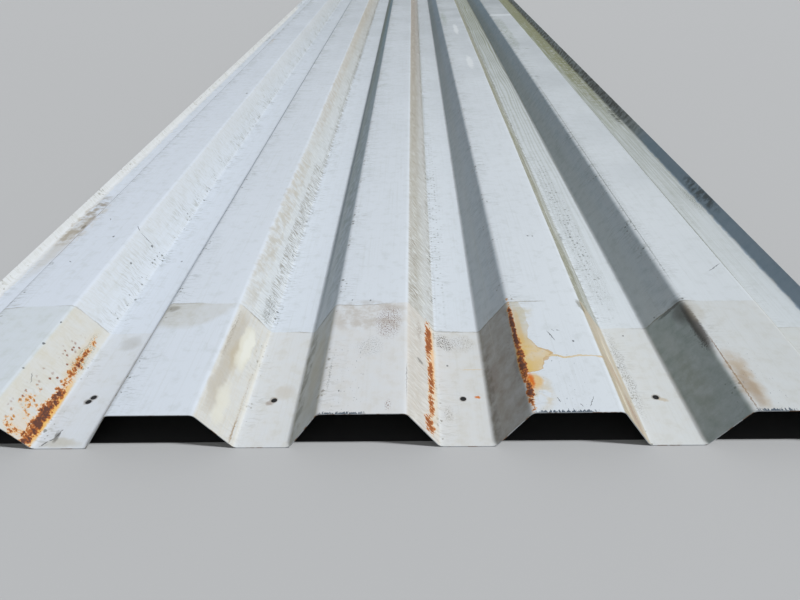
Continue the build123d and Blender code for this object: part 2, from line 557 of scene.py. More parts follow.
# %% Right webs
age = add(wear, SMOOTH_RANGE, [add(wear, TIMES_PLUS, [toward_far, 0.22, toward_right]), 0.26, 0.80])
lately = add(wear, MATH, [toward_far], operation="SQRT")
web_grime = add(wear, TIMES_PLUS, [lately, 0.25, 0.55])
web_grime = add(wear, TIMES_PLUS, [web_grime, age, 0.16])
far_right = add(wear, RANGE, [toward_right, 0.60, 0.72])
grain = add(wear, MIX, [far_right, wisps, streaks])
web_grime = add(wear, TIMES, [web_grime, add(wear, RANGE, [grain, 0.30, 0.65, 0.55, 1.40])])
web_grime = add(wear, TIMES, [web_grime, add(wear, RANGE, [upper_web, 0.0, 1.0, 0.80, 1.20])])
web_grime = add(wear, TIMES, [web_grime, on_right_web], use_clamp=True)
darkness = add(wear, TIMES_PLUS, [age, 0.8, add(wear, TIMES_PLUS, [toward_far, 0.2, -0.4])])
darkness = add(wear, TIMES_PLUS, [grain, 0.8, darkness], use_clamp=True)
old_tint = add(wear, COLOUR_MIX, [far_right, linear("#877e73"), linear("#71725c")])
web_tint = add(wear, COLOUR_MIX, [darkness, linear("#b5b097"), old_tint])
wisp_level = add(wear, RANGE, [toward_right, 0.10, 0.33])
pale_wisps = add(wear, SMOOTH_RANGE, [wisps, 0.44, 0.32, 0.0, 0.6])
pale_wisps = add(wear, TIMES, [add(wear, TIMES, [pale_wisps, wisp_level]), on_right_web])

# %% Left webs
# Painted shade: the left webs are darkened towards the far end and tinted sky-blue grey above; the greenish
# tint below is partly dirt.
right_hand = add(wear, RANGE, [toward_right, 0.45, 0.62])
left_hand_shade_and_dirt = add(wear, TIMES_PLUS, [lately, 0.80, 0.18])
right_hand_shade_and_dirt = add(wear, TIMES_PLUS, [toward_far, 0.42, 0.22])
left_web_shade_and_dirt = add(wear, MIX, [right_hand, left_hand_shade_and_dirt, right_hand_shade_and_dirt])
texture = add(wear, RANGE, [add(wear, TIMES_PLUS, [speck, 0.8, mottle]), 0.6, 1.2, 0.75, 1.25])
left_web_shade_and_dirt = add(wear, TIMES, [add(wear, TIMES, [left_web_shade_and_dirt, texture]), on_left_web], use_clamp=True)
sky_blue_shade = add(wear, TIMES_PLUS, [upper_web, 0.6, add(wear, TIMES, [right_hand, 0.4])])
shade_and_dirt_tint = add(wear, COLOUR_MIX, [sky_blue_shade, linear("#52695f"), linear("#5889a6")])

# %% Valleys on the right
# In the right-hand valleys algae grow in lines that wander along the sheet, like the grain of wood,
# and in the last valley in long thin streaks.
line_spacing = 7.0
slow_place = add(wear, STRETCH, [place, (0.03, 0.0022, 0.0)])
wandering = add(wear, FLAT_NOISE, [slow_place, 1.0, 2.0])
line_place = add(wear, TIMES_PLUS, [wandering, 20.0, add(wear, SEPARATE, [frayed])])
between_lines = add(wear, MATH, [line_place, line_spacing / 2], operation="PINGPONG")
lines = add(wear, SMOOTH_RANGE, [between_lines, 2.0, 0.4, 0.70, 2.2])
thin_lines = add(wear, SMOOTH_RANGE, [streaks, 0.35, 0.65, 0.60, 1.8])
growth = add(wear, MIX, [add(wear, RANGE, [object_x, 0.42, 0.36]), thin_lines, lines])
algae = add(wear, TIMES, [add(wear, RANGE, [object_x, 0.10, 0.46]), toward_far])
algae = add(wear, TIMES, [add(wear, TIMES, [algae, growth]), in_valley], use_clamp=True)

# %% [markdown]
# ### Dirt along the bends
# Water hangs on at a bend, and what it carries stays there as dark grains. They gather along the left
# shoulder of each rib and along the foot of each right web, with faint dashes beside them. The pitch
# repeats, so the remainder of X tells how far a point is from the middle of its rib.

# %% Distance to a bend
half_pitch = pitch / 2
in_rib = add(wear, MATH, [object_x, half_pitch, -half_pitch], operation="WRAP")
from_shoulder = add(wear, ABSOLUTE, [add(wear, PLUS, [in_rib, crest_flat / 2])])
from_foot = add(wear, ABSOLUTE, [add(wear, MINUS, [in_rib, (pitch - valley_flat) / 2])])
from_bend = add(wear, MATH, [from_shoulder, from_foot], operation="MINIMUM")
patchy = add(wear, RANGE, [clusters, 0.38, 0.62])

# %% Grains and dashes
grain_size = add(wear, TIMES, [add(wear, MATH, [chance, 3.0], operation="POWER"), patchy])
grain_size = add(wear, TIMES, [grain_size, add(wear, RANGE, [from_bend, 11.0 * MM, 1.0 * MM])])
inside_grain = add(wear, MINUS, [add(wear, TIMES_PLUS, [grain_size, 0.52, -0.03]), cells])
grains = add(wear, SMOOTH_RANGE, [inside_grain, -0.05, 0.08, 0.0, 0.75])
dashes = add(wear, SMOOTH_RANGE, [wisps, 0.51, 0.65, 0.0, 0.8])
dash_near = add(wear, TIMES, [add(wear, RANGE, [from_bend, 26.0 * MM, 3.0 * MM]), patchy])
dash_near = add(wear, TIMES, [dash_near, add(wear, TIMES_PLUS, [toward_far, 0.9, 0.5])])
dash_near = add(wear, TIMES_PLUS, [toward_far, 0.30, dash_near])
dashes = add(wear, TIMES, [dashes, dash_near], use_clamp=True)
bar_near = add(wear, RANGE, [from_shoulder, 34.0 * MM, 2.0 * MM, 0.25, 0.9])
off_webs = add(wear, PLUS, [on_crest, in_valley])
bar_near = add(wear, TIMES, [add(wear, TIMES, [bar_near, toward_far]), off_webs])
bars = add(wear, TIMES, [add(wear, SMOOTH_RANGE, [bars, 0.50, 0.66, 0.0, 0.75]), bar_near])
at_foot = add(wear, TIMES, [add(wear, RANGE, [from_foot, 5.0 * MM, 1.5 * MM]), lately])
at_foot = add(wear, TIMES, [at_foot, wisp_level])
stitches = add(wear, TIMES, [add(wear, SMOOTH_RANGE, [wisps, 0.47, 0.56]), at_foot])

# %% [markdown]
# ### Screw holes
# The bare rim of each hole has gone brown. The distance to the nearest hole comes from the same repeat
# as the drills: the valleys' middles and the two rows.

# %% Rims
from_valley = add(wear, PLUS, [object_x, half_pitch])
from_valley = add(wear, MATH, [from_valley, half_pitch, -half_pitch], operation="WRAP")
from_row = add(wear, PLUS, [add(wear, ABSOLUTE, [object_y]), front_row_y])
to_hole = add(wear, "ShaderNodeCombineXYZ", [from_valley, from_row])
to_hole = add(wear, VECTOR_MATH, [to_hole], operation="LENGTH")
to_stray = add(wear, VECTOR_MATH, [object_place, stray_hole], operation="DISTANCE")
to_hole = add(wear, MATH, [to_hole, to_stray], operation="MINIMUM")
ragged_rim = add(wear, TIMES_PLUS, [mottle, -4.0 * MM, to_hole])
rim = add(wear, TIMES, [add(wear, SMOOTH_RANGE, [ragged_rim, 2.9 * MM, 1.2 * MM, 0.0, 0.5]), in_valley])

# %% Layers, from the paint upwards
warm_paint = add(wear, TIMES, [toward_right, 0.7])
colour = add(wear, COLOUR_MIX, [warm_paint, linear("#ccd5e1"), linear("#d2d9dc")])
for cover, tint in (
    (streak_cover, linear("#b9c0c2")),
    (dust, linear("#878f95")),
    (blotches, linear("#aab1b0")),
    (bars, linear("#7f8a84")),
    (dashes, linear("#868c8a")),
    (web_grime, web_tint),
    (pale_wisps, linear("#d3d6d2")),
    # painted shade on the left webs, partly greenish dirt
    (left_web_shade_and_dirt, shade_and_dirt_tint),
    (algae, linear("#6e7456")),
    (stitches, linear("#5f5c50")),
    (grains, linear("#4c504b")),
    (rim, linear("#4d3c2c")),
):
    colour = add(wear, COLOUR_MIX, [cover, colour, tint])

# %% What the group hands on
handed_on = {
    "Colour": colour,
    "Place": place,
    "Ragged": ragged,
    "Frayed": frayed,
    "From front": from_front,
    "Right web": on_right_web,
    "Left web": on_left_web,
    "Crest": on_crest,
    "Valley": in_valley,
    "Mottle": mottle,
    "Speck": speck,
    "Streaks": streaks,
    "Wisps": wisps,
    "Patchy": patchy,
    "Cells": cells,
    "Chance": chance,
}
for name, socket in handed_on.items():
    kind = {"RGBA": "Color", "VECTOR": "Vector", "VALUE": "Float"}[socket.type]
    wear.interface.new_socket(name, in_out="OUTPUT", socket_type="NodeSocket" + kind)
add(wear, "NodeGroupOutput", list(handed_on.values()))
print("weathered paint has", len(wear.nodes), "nodes")

# %% [markdown]
# ## The open sheet
# Behind the lap the weather's work is nearly all of it. What is added are the stains that make this
# sheet itself, and two strips of painted shade. Each line gives the face, the offset from its middle and
# the distance from the front end, half the width and half the length, the tint and its strength. More
# can follow: what breaks it up, how much of it is soft edge, its squareness, and a turn in degrees.
# Where these are left out, they are the usual ones below. Small stains get the more finely frayed outline.


# %% What breaks a stain up
def stain_grains(tree, seen):
    """Noises from 0 to 1 that a stain can be multiplied by, by name."""
    found = {"even": 1.0}
    for name, noise, low, high in (
        ("mottled", "Mottle", 0.35, 0.62),
        ("speckled", "Speck", 0.50, 0.64),
        ("streaked", "Streaks", 0.40, 0.62),
        ("wispy", "Wisps", 0.45, 0.62),
    ):
        found[name] = add(tree, SMOOTH_RANGE, [seen[noise], low, high])
    dot = add(tree, SMOOTH_RANGE, [seen["Cells"], 0.34, 0.16])
    chosen = add(tree, RANGE, [seen["Chance"], 0.60, 0.80])
    found["dotted"] = add(tree, TIMES, [dot, chosen])
    return found


# %% Laying stains
usual_end = ("even", 1.0, 2, 0)
small = 6


def lay_stains(tree, seen, grains, colour, stains):
    """Lays a list of stains over a colour, one after another."""
    for face, offset, along, half_width, half_length, tint, strength, *end in stains:
        grain, edge, squareness, angle = (*end, *usual_end[len(end) :])
        outline = seen["Ragged"] if min(half_width, half_length) > small else seen["Frayed"]
        look = {"Colour": colour, "Edge": edge, "Tint": linear(tint), "Strength": strength}
        shape = mark(outline, face, offset, along, half_width, half_length, angle, squareness)
        inputs = {**look, "Grain": grains[grain], **shape}
        colour = add(tree, "ShaderNodeGroup", inputs, node_tree=stain)
    return colour


# %% Stains behind the lap
open_stains_and_shade = [
    ("valley 0", -9, 470, 14, 92, "#7a6a4e", 0.70, "mottled", 0.8, 4),
    ("valley 0", -1, 444, 3, 8, "#2c2c30", 0.90, "even", 0.6),
    ("valley 0", -14, 1930, 8, 90, "#72787a", 0.50, "mottled", 0.9),
    ("valley 0", -8, 400, 14, 130, "#b3ac9c", 0.45),
    ("left lip", 0, 1300, 14, 1400, "#d8d6ce", 0.40, "even", 0.5, 8),
    ("crest 1", -34, 375, 8, 90, "#bdb5a5", 0.40, "mottled"),
    ("valley 4", -6, 470, 15, 340, "#4c504b", 0.75, "dotted"),
    ("valley 3", -15, 520, 11, 420, "#5c605b", 0.55, "dotted"),
    # painted shade: a dark blue-grey strip along the foot of left web 3
    ("left web 3", -19, 1000, 5, 900, "#42566b", 0.45, "even", 1.0, 4),
    ("left web 3", 6, 900, 16, 800, "#6f7a70", 0.35, "mottled", 1.0, 4),
    ("valley 4", -6, 420, 16, 240, "#6c706b", 0.35, "speckled", 1.0, 4),
    ("valley 5", 0, 2500, 40, 520, "#4d5238", 0.40, "mottled", 1.0, 4),
    ("crest 5", -34.5, 640, 0.9, 480, "#6f7775", 0.65, "even", 0.9, 4),
    ("crest 5", -31, 560, 5, 360, "#7d8482", 0.50, "speckled"),
    ("crest 5", 37.5, 800, 1.5, 640, "#70766f", 0.85, "even", 0.9, 6),
    ("crest 5", 35.5, 700, 3, 520, "#70766f", 0.55, "speckled"),
    ("crest 4", 4, 1780, 9, 110, "#dce1e4", 0.45, "even", 0.8),
    ("crest 4", 12, 1300, 10, 90, "#dce1e4", 0.45, "even", 0.8),
    ("left web 4", -5, 310, 0.7, 150, "#b4bcbe", 0.65, "even", 1.0, 2, 1.2),
    ("left web 4", 9, 260, 0.6, 110, "#b4bcbe", 0.40, "even", 1.0, 2, 0.8),
    ("crest 1", -37, 360, 1.2, 120, "#a98a68", 0.45),
    ("crest 1", -34, 1650, 10, 70, "#9f9482", 0.50, "mottled"),
    ("right web 2", -15, 420, 12, 280, "#aaa18d", 0.45, "mottled", 1.0, 4),
    ("right web 2", -15, 1500, 11, 900, "#a39682", 0.40, "mottled", 1.0, 4),
    ("right web 2", -8, 2200, 12, 70, "#756e58", 0.40, "mottled"),
    ("right web 2", 11, 430, 8, 270, "#77705f", 0.60, "wispy", 1.0, 4),
    ("right web 2", 12, 205, 9, 44, "#5f6259", 0.80, "speckled"),
    ("right web 3", -14, 297, 12, 45, "#837a6b", 0.60, "wispy", 0.9),
    ("right web 3", -14, 205, 12, 28, "#837a6b", 0.60, "wispy", 0.9),
    ("right web 3", -10, 880, 12, 120, "#7d7462", 0.55, "wispy"),
    ("right web 4", -6, 560, 14, 160, "#6d6448", 0.35, "streaked"),
    ("crest 4", -26, 2000, 12, 190, "#6f7d68", 0.75, "wispy"),
    ("crest 5", -22, 1720, 16, 300, "#6f7a66", 0.80, "wispy", 1.0, 4),
    ("crest 5", -10, 1450, 26, 8, "#6b7674", 0.60, "mottled", 0.9),
    ("crest 5", -20, 1130, 16, 5, "#5f686a", 0.60, "mottled", 0.9),
    ("crest 5", 0, 2040, 42, 20, "#ccd3d8", 0.55, "even", 0.5, 6),
    ("valley 5", 12, 2150, 24, 1300, "#6b6d46", 0.88, "mottled", 1.0, 4),
    ("valley 5", 19, 505, 9, 60, "#4d5238", 0.85, "speckled"),
    ("valley 5", 20, 940, 9, 80, "#30342a", 0.85, "mottled"),
    # painted shade: a sky-blue tint on the right lip, which faces away from the lamp
    ("right lip", 0, 420, 12, 420, "#5580a6", 0.45, "even", 0.8, 6),
    ("right lip", 0, 1900, 12, 1150, "#30332b", 0.80, "mottled", 0.8, 6),
    ("right lip", 0, 510, 10, 80, "#30332b", 0.70, "mottled", 0.8),
    ("right lip", 0, 1080, 12, 300, "#262a26", 0.45),
]

# %% [markdown]
# ### Scratches and nicks
# A scratch is a mark field that is very thin: it is given by its two ends. Nicks and burnt-in specks
# of drilling dust are small round ones. All of them join in one field and get one dark tint.

# %% Scratches and nicks behind the lap
# A scratch has its face, its two ends and half its width. A nick has its middle and its radius.
open_scratches = [
    ("right web 1", (-28, 364), (-21, 353), 0.6),
    ("right web 1", (-21, 353), (3, 350), 0.6),
    ("crest 5", (12, 222), (36, 243), 0.6),
    ("crest 1", (-14, 389), (-10, 382), 0.7),
    ("crest 1", (-16, 270), (-10, 266), 0.6),
]
open_nicks = [
    ("right web 1", -5, 290, 1.6),
    ("right web 1", 3, 347, 2.0),
    ("crest 1", 14, 333, 1.6),
    ("valley 1", 4, 334, 1.5),
    ("crest 4", 7, 317, 1.3),
    ("crest 4", 13, 316, 1.0),
    ("valley 4", -10, 387, 1.7),
    ("crest 1", 30, 1036, 3.0),
]


# %% Laying scratches and nicks
def lay_scratches(tree, seen, colour, scratches, nicks):
    """Lays thin and small dark marks over a colour."""
    marks = []
    for face, start, end, half_width in scratches:
        run, rise = end[0] - start[0], end[1] - start[1]
        middle = ((start[0] + end[0]) / 2, (start[1] + end[1]) / 2)
        angle = degrees(atan2(rise, run))
        marks.append(mark(seen["Frayed"], face, *middle, hypot(run, rise) / 2, half_width, angle))
    for face, offset, along, radius in nicks:
        marks.append(mark(seen["Frayed"], face, offset, along, radius, radius * 1.4))
    field = join_marks(tree, [(inputs, 1.0) for inputs in marks], 0.0)
    cover = add(tree, SMOOTH_RANGE, [field, 0.0, 0.7, 0.0, 0.85])
    return add(tree, COLOUR_MIX, [cover, colour, linear("#45484b")])


# %% [markdown]
# ### Gloss and relief
# Chalked polyester has a roughness of about 0.45, a little more where it is mottled. Its pigment
# lies bare, so it mirrors the sky less than new paint does, which the specular level says. A fine bump
# stands for the chalk's grain.


# %% Start and end of a material
def empty_material(name):
    """A material with nothing in its tree, and that tree."""
    material = bpy.data.materials.new(name)
    material.use_nodes = True
    material.node_tree.nodes.clear()
    return material, material.node_tree


def finish_material(tree, surface, relief=None, strength=0.0, depth=0.0):
    """Ends a material with its surface, and with a relief given as a height from 0 to 1."""
    if relief:
        bump = {"Strength": strength, "Distance": depth, "Height": relief}
        surface["Normal"] = add(tree, "ShaderNodeBump", bump)
    shader = add(tree, "ShaderNodeBsdfPrincipled", surface)
    tree.links.new(shader, tree.nodes.new("ShaderNodeOutputMaterial").inputs["Surface"])
    print("a material with", len(tree.nodes), "nodes")


# %% The open coating
chalked = {"IOR": 1.5, "Specular IOR Level": 0.3}
coating, paint = empty_material("weathered_polyester_coating")
seen = add(paint, "ShaderNodeGroup", node_tree=wear).node.outputs
grains = stain_grains(paint, seen)
colour = lay_stains(paint, seen, grains, seen["Colour"], open_stains_and_shade)
colour = lay_scratches(paint, seen, colour, open_scratches, open_nicks)
roughness = add(paint, RANGE, [seen["Mottle"], 0.0, 1.0, 0.40, 0.56])
relief = add(paint, TIMES, [seen["Speck"], 0.06])
finish_material(paint, {"Base Color": colour, "Roughness": roughness, **chalked}, relief, 0.6, 0.5 * MM)

# %% [markdown]
# ## The front end, under the lap
# At the front end another sheet lay over this one for years, up to a line 166 mm from the edge. Under
# it the paint kept dust and rust water, and at its edge rain left a thin dark line. The film differs
# from face to face: nearly none on the crests, cream on the right webs, brown on the left ones.

# %% Film under the lap
lapped, paint = empty_material("lapped_polyester_coating")
seen = add(paint, "ShaderNodeGroup", node_tree=wear).node.outputs
lap_length = 166.0
lap_blur = 1.0
line_wave = 16.0
line_shift = 6.5
strip_x, slow_edge = add(paint, SEPARATE, [seen["Ragged"]]).node.outputs[:2]
lap_edge = add(paint, SEPARATE, [seen["Frayed"]]).node.outputs["Y"]
lap_edge = add(paint, MIX, [0.25, lap_edge, slow_edge])
slow_wave = add(paint, FLAT_NOISE, [seen["Place"], 1 / 110.0, 1.0])
lap_edge = add(paint, TIMES_PLUS, [slow_wave, -line_wave, lap_edge])
lap_edge = add(paint, PLUS, [lap_edge, line_shift])
under_lap = add(paint, SMOOTH_RANGE, [lap_edge, lap_length + lap_blur, lap_length - lap_blur])
mottle_level = add(paint, RANGE, [seen["Mottle"], 0.3, 0.7, 0.7, 1.15])
film_level = add(paint, TIMES, [under_lap, mottle_level])
streak_level = add(paint, RANGE, [seen["Streaks"], 0.35, 0.65, 0.7, 1.2])
grains = stain_grains(paint, seen)
for name in ("Right web", "Left web", "Crest", "Valley"):
    grains[name] = add(paint, TIMES, [seen[name], film_level])
grains["Streaked web"] = add(paint, TIMES, [grains["Right web"], streak_level])

film_size = (0, 84, 46, 130)
film_end = (0.3, 8)
films = [
    ("crest 1", "#b2bab2", 0.28, "Crest"),
    ("crest 3", "#cbc4b8", 0.36, "Crest"),
    ("crest 5", "#b4b0a2", 0.28, "Crest"),
    ("valley 1", "#bdb9ac", 0.20, "Valley"),
    ("valley 2", "#c9bfa9", 0.28, "Valley"),
    ("valley 3", "#c9c0ac", 0.32, "Valley"),
    ("valley 4", "#c2baa5", 0.26, "Valley"),
    ("valley 5", "#b4b09e", 0.30, "Valley"),
    ("right web 1", "#c6bfa9", 0.46, "Right web"),
    ("right web 2", "#c4beae", 0.50, "Streaked web"),
    ("right web 3", "#cfcac3", 0.50, "Right web"),
    ("right web 4", "#b8a98f", 0.74, "Streaked web"),
    ("left web 2", "#958d7c", 0.70, "Left web"),
    ("left web 3", "#a3a08c", 0.50, "Left web"),
    ("left web 4", "#8b857a", 0.70, "Left web"),
    ("left web 5", "#84938f", 0.60, "Left web"),
]
film_marks = [(face, *film_size, tint, strength, mask, *film_end) for face, tint, strength, mask in films]
colour = lay_stains(paint, seen, grains, seen["Colour"], film_marks)

# %% The line at the lap's edge
from_lap_line = add(paint, ABSOLUTE, [add(paint, MINUS, [lap_edge, lap_length])])
line_level = add(paint, RANGE, [seen["Patchy"], 0.0, 1.0, 0.12, 0.80])
on_flat = add(paint, PLUS, [seen["Valley"], seen["Crest"]])
line_level = add(paint, TIMES_PLUS, [on_flat, -0.28, line_level], use_clamp=True)
line_cover = add(paint, TIMES, [add(paint, SMOOTH_RANGE, [from_lap_line, 1.3, 0.2]), line_level])
colour = add(paint, COLOUR_MIX, [line_cover, colour, linear("#77705f")])

# %% Stains under the lap
lap_stains = [
    ("valley 1", 6, 152, 15, 16, "#8f8c82", 0.30),
    ("valley 1", 0, 6, 22, 8, "#aaa48e", 0.50),
    ("valley 1", -9, 16, 3.0, 12, "#4f4d48", 0.70, "mottled", 0.9, 2, 8),
    ("crest 2", -20, 172, 58, 50, "#b4b2a6", 0.38, "Crest", 0.35),
    ("crest 2", -36, 172, 50, 46, "#a9a799", 0.30, "Crest"),
    ("crest 2", -32, 161, 9, 8, "#6d695e", 0.50),
    ("right web 2", -20, 122, 2.6, 48, "#66573f", 0.80, "speckled", 0.9),
    ("right web 2", -14, 90, 9, 86, "#a39a89", 0.45, "even", 1.0, 4),
    ("right web 2", -7, 100, 7, 34, "#b3a88f", 0.60),
    ("right web 2", 1, 118, 11, 42, "#d4d4c8", 0.80, "even", 0.7),
    ("right web 2", 3, 122, 7, 32, "#dcdfda", 0.50, "even", 0.8),
    ("right web 2", -3, 34, 10, 34, "#d3d3c8", 0.70, "even", 0.9),
    ("right web 2", 23, 84, 2.2, 90, "#dfe2e0", 0.30, "even", 0.8, 4),
    ("right web 2", 18, 50, 1.8, 60, "#8a6e4c", 0.50, "speckled", 0.9),
    ("right web 2", 17.5, 14, 2, 18, "#8a7048", 0.80, "streaked", 0.9),
    ("valley 2", 8, 72, 13, 11, "#b0a48c", 0.35, "even", 1.0, 2, 30),
    ("valley 2", -4, 56, 5, 4, "#7a5f45", 0.55, "mottled"),
    ("left web 3", -16, 84, 8, 90, "#55544c", 0.50, "mottled", 1.0, 4),
    ("left web 3", 5, 84, 13, 76, "#b2af9f", 0.50),
    ("left web 3", 2, 167, 22, 3, "#4f504a", 0.50, "even", 0.8),
    ("crest 3", -2, 146, 40, 30, "#9d9284", 0.36, "mottled", 1.0, 4),
    ("crest 3", 19, 134, 17, 34, "#6f4f48", 0.80, "speckled", 0.9),
    ("crest 3", 22, 11, 3.5, 9, "#6f4638", 0.80, "speckled"),
    ("crest 3", 2, 92, 18, 20, "#85888a", 0.50, "speckled"),
    ("crest 3", -33, 48, 1.3, 28, "#6d7478", 0.70, "speckled", 0.8),
    ("crest 3", 37.5, 38, 0.6, 34, "#4f4a44", 0.70, "streaked", 0.9),
    ("right web 3", -4, 90, 6, 3, "#777570", 0.75, "even", 0.6, 2, -8),
    ("right web 3", -5, 138, 6, 24, "#6a4a30", 0.65, "speckled"),
    ("valley 3", -15, 147, 9, 16, "#4a4440", 1.00, "speckled", 0.7, 2, 20),
    ("valley 3", 2, 146, 20, 18, "#6f6862", 0.50, "speckled"),
    ("valley 3", -15, 40, 6, 14, "#7a7876", 0.60, "speckled"),
    ("valley 3", 12, 103, 15, 1.2, "#cdb992", 0.50, "even", 0.9),
    ("left web 4", -14, 80, 12, 26, "#6d563f", 0.30),
    ("left web 4", -20, 60, 6, 80, "#4c4a44", 0.30, "mottled", 1.0, 4),
    ("left web 4", 20, 90, 5, 80, "#77757a", 0.35, "mottled", 1.0, 4),
    ("left web 4", -7, 150, 0.7, 60, "#b5b6b2", 0.60, "even", 1.0, 2, 1.2),
    ("right web 4", -6, 70, 14, 26, "#a87f5a", 0.60, "streaked"),
    ("right web 4", 10, 24, 16, 30, "#86593c", 0.80, "streaked"),
    ("right web 4", -8, 30, 6, 34, "#e4e1d2", 0.75, "streaked"),
    ("right web 4", 6, 104, 10, 46, "#e2dfd0", 0.75, "streaked"),
    ("right web 4", -24, 158, 4, 14, "#5f5a3c", 0.60, "even", 0.8, 2, 12),
    ("valley 4", -19, 100, 7, 80, "#5a564e", 0.60, "speckled"),
    ("valley 4", 5, 57, 8, 3, "#b09a72", 0.50, "even", 1.0, 2, -20),
    ("left web 5", 19, 152, 14, 24, "#3a352d", 0.62),
    ("left web 5", 23, 122, 6, 50, "#36302a", 0.85, "even", 0.9),
    ("left web 5", 20, 96, 5, 12, "#36302a", 0.70, "speckled", 0.9),
    ("left web 5", 8, 165, 18, 3, "#33302a", 0.60, "even", 0.9),
    ("left web 5", -6, 66, 16, 50, "#97a09b", 0.40, "mottled"),
    ("crest 5", -34.5, 56, 1.4, 60, "#574734", 0.70, "speckled", 0.9),
    ("crest 5", -31, 146, 10, 26, "#a39a84", 0.28),
    ("crest 5", -34.5, 50, 0.8, 56, "#7a6450", 0.75, "even", 0.9, 4),
    ("crest 5", -26, 42, 14, 52, "#a58a66", 0.32, "mottled"),
    ("crest 5", -27, 40, 13, 50, "#a89372", 0.42),
    ("crest 5", -29, 30, 7, 34, "#84694a", 0.35),
]
colour = lay_stains(paint, seen, grains, colour, lap_stains)
print(len(films), "films,", len(lap_stains), "stains under the lap,", len(open_stains_and_shade), "behind it")

# %% [markdown]
# ### Rust water
# Where the zinc is used up, the steel rusts, and rain washes yellow rust water out of it. On crest 4 it
# ran over the crest and dried in pools. Such a pool is orange beside the rust and pale further off,
# with a thin dark rim, because the water dried from its edge inwards. Its outline is the union of a
# few ovals, and the rim is where the joined field passes zero.

# %% Pools on crest 4
# Each line: the face, place and half sizes as for a stain, then turn, squareness and weight.
pools = [
    ("crest 4", -38, 130, 14, 48, 0, 3, 1.0),
    ("crest 4", -34, 78, 16, 25, 0, 4, 1.0),
    ("crest 4", -34, 78, 28, 28, 0, 1.1, 1.0),
    ("crest 4", 10, 74.5, 32, 1.3, 0, 2, 0.6),
]
pool_marks = [(mark(seen["Ragged"], *shape), weight) for *shape, weight in pools]
pool_field = join_marks(paint, pool_marks, -1.0, 0.30)
pool = add(paint, SMOOTH_RANGE, [pool_field, 0.0, 0.10])
pool = add(paint, TIMES, [pool, grains["Crest"]], use_clamp=True)
near_rust = add(paint, SMOOTH_RANGE, [strip_x, at("crest 4", -16, 0)[0], at("crest 4", -36, 0)[0]])
low_pool = add(paint, SMOOTH_RANGE, [slow_edge, 140.0, 80.0])
pool_cover = add(paint, TIMES_PLUS, [low_pool, 0.45, add(paint, TIMES_PLUS, [near_rust, 0.28, 0.22])])
pool_cover = add(paint, TIMES, [pool_cover, pool])
pool_tint = add(paint, COLOUR_MIX, [low_pool, linear("#aaa07c"), linear("#ceae5e")])
colour = add(paint, COLOUR_MIX, [pool_cover, colour, pool_tint])
rim = add(paint, MATH, [pool_field, 0.09, 0.06], operation="COMPARE")
rim = add(paint, TIMES, [rim, add(paint, TIMES_PLUS, [low_pool, 0.35, 0.12])])
rim = add(paint, TIMES, [rim, seen["Crest"]])
colour = add(paint, COLOUR_MIX, [rim, colour, linear("#b08a50")])

# %% Rust water beside the bands
rust_water = [
    ("right web 1", 20.5, 42, 4.5, 58, "#d6a648", 0.85, "even", 0.9),
    ("right web 1", 6, 12, 16, 18, "#dba65c", 0.14),
    ("right web 1", 12, 120, 9, 50, "#c9b184", 0.35),
    ("right web 3", 15, 92, 9, 92, "#e3cfa4", 0.30, "even", 1.0, 4),
    ("right web 3", 18, 110, 4, 70, "#e0a45a", 0.55),
    ("crest 4", -26, 146, 14, 30, "#bdb597", 0.45, "mottled"),
    ("crest 4", -26, 26, 13, 30, "#c8b893", 0.55, "mottled"),
    ("crest 4", -33, 118, 4, 50, "#c9a45c", 0.45),
    ("crest 4", -30, 39, 9, 14, "#d4ab58", 0.75, "even", 0.9),
    ("crest 4", -34, 40, 4.5, 13, "#c86a1e", 1.00, "even", 0.9),
    ("right web 1", 2, 44, 19, 52, "#7c4424", 0.95, "dotted", 0.6),
    ("right web 1", 6, 116, 14, 40, "#7c4424", 0.90, "dotted", 0.7),
    ("right web 1", 14, 124, 7, 42, "#7c7a66", 0.85, "speckled", 0.8),
    ("valley 3", 14, 62, 3.8, 2.4, "#c87326", 1.00),
]
colour = lay_stains(paint, seen, grains, colour, rust_water)

# %% [markdown]
# ### Rust
# Rust starts as pits along a bend, which grow together into a dark brown band with an orange edge.
# The bands come from mark fields, joined by taking the largest. The pits come from the cell pattern
# and a fine noise added to that sum: near the band's middle it always passes the limit, and further
# out only a few cells do, each with its own chance. Further right the rust is fibrous across the web.

# %% Rust bands
# Each line: the face, place and half sizes as for a stain, then how heavy the rust is.
rust_bands = [
    ("right web 1", 16, 26, 8, 70, 1.22),
    ("right web 1", 15, 106, 6, 60, 0.66),
    ("right web 1", 4, 26, 17, 46, 0.28),
    ("right web 1", 2, 7, 18, 7, 0.55),
    ("right web 3", 11.5, 136, 7.5, 46, 1.25),
    ("right web 3", 14, 84, 6.5, 36, 1.05),
    ("right web 3", 13, 50, 6, 34, 0.92),
    ("right web 3", 9, 16, 10, 15, 0.90),
    ("crest 4", -38, 119, 3.0, 60, 1.35),
    ("crest 4", -37.5, 72, 4.6, 46, 1.20),
    ("crest 4", -36.5, 26, 4.0, 28, 1.00),
]
band_marks = [(mark(seen["Frayed"], *shape), weight) for *shape, weight in rust_bands]
rust_field = join_marks(paint, band_marks, -0.5)

